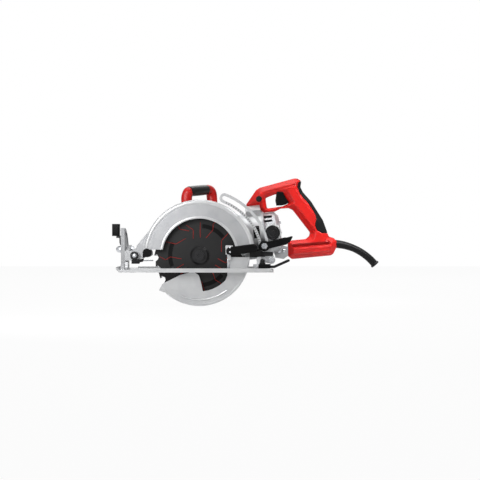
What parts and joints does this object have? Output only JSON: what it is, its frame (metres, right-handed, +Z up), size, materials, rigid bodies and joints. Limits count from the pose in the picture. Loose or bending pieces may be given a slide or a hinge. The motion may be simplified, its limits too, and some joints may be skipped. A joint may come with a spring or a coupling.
{
  "type": "worm drive circular saw",
  "caption": "Hand-held circular saw with a worm gear drive, guarded blade, tilting foot with depth link, rear trigger handle and top handle.",
  "frame": {"origin": "on the sole of the foot, straight under the arbor at full cutting depth, in the blade's mid-plane", "axes": "+X to the rear handle, +Y to the motor side, +Z up from the sole"},
  "size_m": [0.5509, 0.177, 0.2607],
  "materials": {
    "cast_magnesium": "satin",
    "satin_aluminium": "satin",
    "zinc_steel": "satin",
    "machine_steel": "satin",
    "black_plastic": "matte",
    "black_rubber": "matte",
    "red_plastic": "gloss",
    "blade_coating": "satin",
    "black_steel": "satin",
    "bronze": "satin",
    "copper": "satin",
    "carbon": "matte"
  },
  "bodies": {
    "foot": {"foot_plate": "cast_magnesium", "bevel_quadrant": "cast_magnesium", "quadrant_screws": "zinc_steel", "rear_ear": "cast_magnesium", "bevel_pins": "zinc_steel", "wrench_holder": "black_plastic", "bumper": "black_rubber", "line_guide": "satin_aluminium"},
    "wrench": {"blade_wrench": "black_steel"},
    "tilt_frame": {"front_bracket": "cast_magnesium", "pivot_pin": "zinc_steel", "bevel_bolt": "zinc_steel", "rear_bracket": "cast_magnesium", "link_pin": "zinc_steel"},
    "bevel_lever": {"bevel_lever": "zinc_steel", "bevel_lever_tip": "black_plastic"},
    "depth_link": {"depth_link": "zinc_steel"},
    "saw": {"upper_guard": "cast_magnesium", "chip_deflector": "black_plastic", "gear_housing": "cast_magnesium", "gear_cover": "cast_magnesium", "oil_plug": "zinc_steel", "motor_housing": "cast_magnesium", "end_cap": "cast_magnesium", "body_screws": "zinc_steel", "stator_core": "machine_steel", "field_windings": "copper", "brush_holders": "bronze", "carbon_brushes": "carbon", "brush_springs": "zinc_steel", "brush_caps": "black_plastic", "arbor_bearings": "machine_steel", "motor_bearings": "machine_steel", "clamp_block": "black_plastic", "depth_bolt": "zinc_steel", "handle_mount": "cast_magnesium", "handle_near": "red_plastic", "handle_far": "red_plastic", "handle_grip": "black_rubber", "switch_body": "black_plastic", "cord_boot": "black_rubber", "aux_handle": "red_plastic", "aux_grip": "black_rubber", "guard_spring": "zinc_steel"},
    "lower_guard": {"lower_guard": "satin_aluminium", "lift_lever": "black_plastic", "lever_screws": "zinc_steel"},
    "arbor": {"arbor_shaft": "machine_steel", "worm_wheel": "bronze", "flanges": "black_steel", "blade": "blade_coating", "blade_bolt": "black_steel"},
    "armature": {"armature_shaft": "machine_steel", "worm": "machine_steel", "armature_core": "copper", "fan": "black_plastic", "commutator": "copper"},
    "trigger": {"trigger": "black_plastic"},
    "depth_lever": {"depth_lever": "black_plastic"},
    "lock_button": {"lock_button": "black_plastic"}
  },
  "joints": [
    {"name": "bevel", "type": "hinge", "parent": "foot", "child": "tilt_frame", "pos_m": [0, -0.008, 0.0095], "axis": [1, 0, 0], "range_deg": [0, 53]},
    {"name": "bevel_lever_turn", "type": "hinge", "parent": "tilt_frame", "child": "bevel_lever", "pos_m": [-0.1609, 0.05231, 0.04503], "axis": [-1, 0, 0], "range_deg": [0, 50]},
    {"name": "depth", "type": "hinge", "parent": "tilt_frame", "child": "saw", "pos_m": [-0.13, 0, 0.033], "axis": [0, -1, 0], "range_deg": [0, 27.5]},
    {"name": "depth_link_turn", "type": "hinge", "parent": "tilt_frame", "child": "depth_link", "pos_m": [0.145, 0.00475, 0.024], "axis": [0, -1, 0], "range_deg": [-17.2, 0]},
    {"name": "lower_guard_swing", "type": "hinge", "parent": "saw", "child": "lower_guard", "pos_m": [0, 0, 0.033], "axis": [0, -1, 0], "range_deg": [0, 115], "stiffness_Nm_per_rad": 0.3, "springref_deg": -34.38},
    {"name": "arbor_spin", "type": "hinge", "parent": "saw", "child": "arbor", "pos_m": [0, 0, 0.033], "axis": [0, -1, 0], "continuous": true},
    {"name": "armature_spin", "type": "hinge", "parent": "saw", "child": "armature", "pos_m": [-0.00342, 0.07, 0.05973], "axis": [0.9919, 0, 0.1271], "continuous": true},
    {"name": "trigger_pull", "type": "hinge", "parent": "saw", "child": "trigger", "pos_m": [0.165, 0.07, 0.166], "axis": [0, -1, 0], "range_deg": [0, 9], "stiffness_Nm_per_rad": 0.3, "springref_deg": -17.19},
    {"name": "depth_lever_turn", "type": "hinge", "parent": "saw", "child": "depth_lever", "pos_m": [0.1305, 0, 0.0522], "axis": [0, -1, 0], "range_deg": [0, 45]},
    {"name": "lock_push", "type": "slide", "parent": "saw", "child": "lock_button", "axis": [1, 0, 0], "range_m": [0, 0.0025], "stiffness_N_per_m": 500, "springref_m": -0.004},
    {"name": "wrench_slide", "type": "slide", "parent": "foot", "child": "wrench", "axis": [1, 0, 0], "range_m": [0, 0.03]}
  ],
  "couplings": [
    {"joint": "depth_link_turn", "follows": "depth", "ratio": -0.62},
    {"joint": "armature_spin", "follows": "arbor_spin", "ratio": 4.75}
  ]
}
